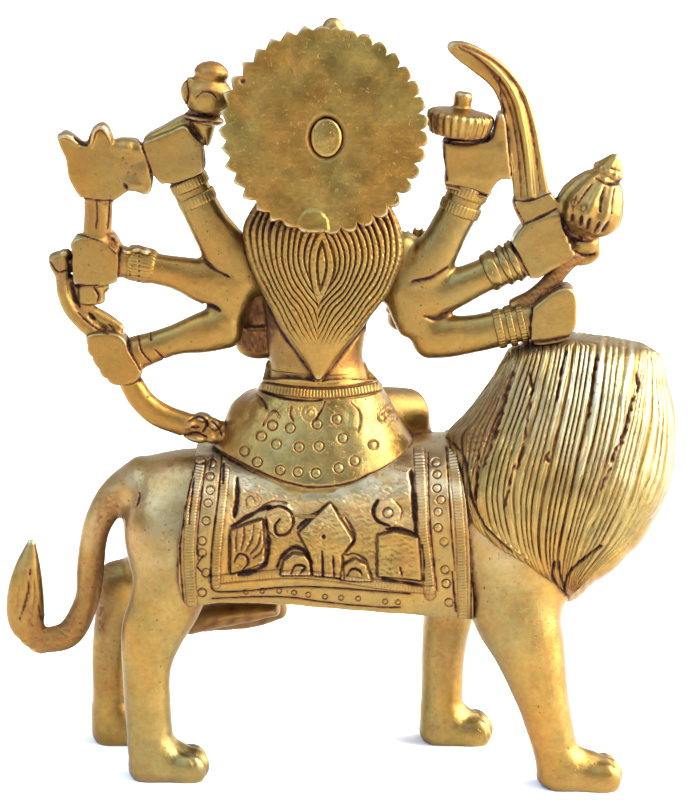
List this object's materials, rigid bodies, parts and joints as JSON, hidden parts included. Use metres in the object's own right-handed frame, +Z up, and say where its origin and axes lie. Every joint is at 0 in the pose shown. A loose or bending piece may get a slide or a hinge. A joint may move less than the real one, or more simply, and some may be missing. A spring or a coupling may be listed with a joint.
{
  "type": "goddess on lion figure",
  "caption": "Cast brass figure of a many-armed goddess seated on a standing lion, with a scalloped halo plate behind her head.",
  "frame": {"origin": "on the ground, under the middle of the figure's bounding box", "axes": "+Z up, +X towards the lion's chest, +Y towards the goddess's face"},
  "size_m": [0.1437, 0.0478, 0.163],
  "materials": {
    "antique_brass": "antique",
    "halo_brass": "antique"
  },
  "bodies": {
    "root": {"durga_lion_casting": "antique_brass", "halo_plate": "halo_brass"}
  },
  "joints": []
}
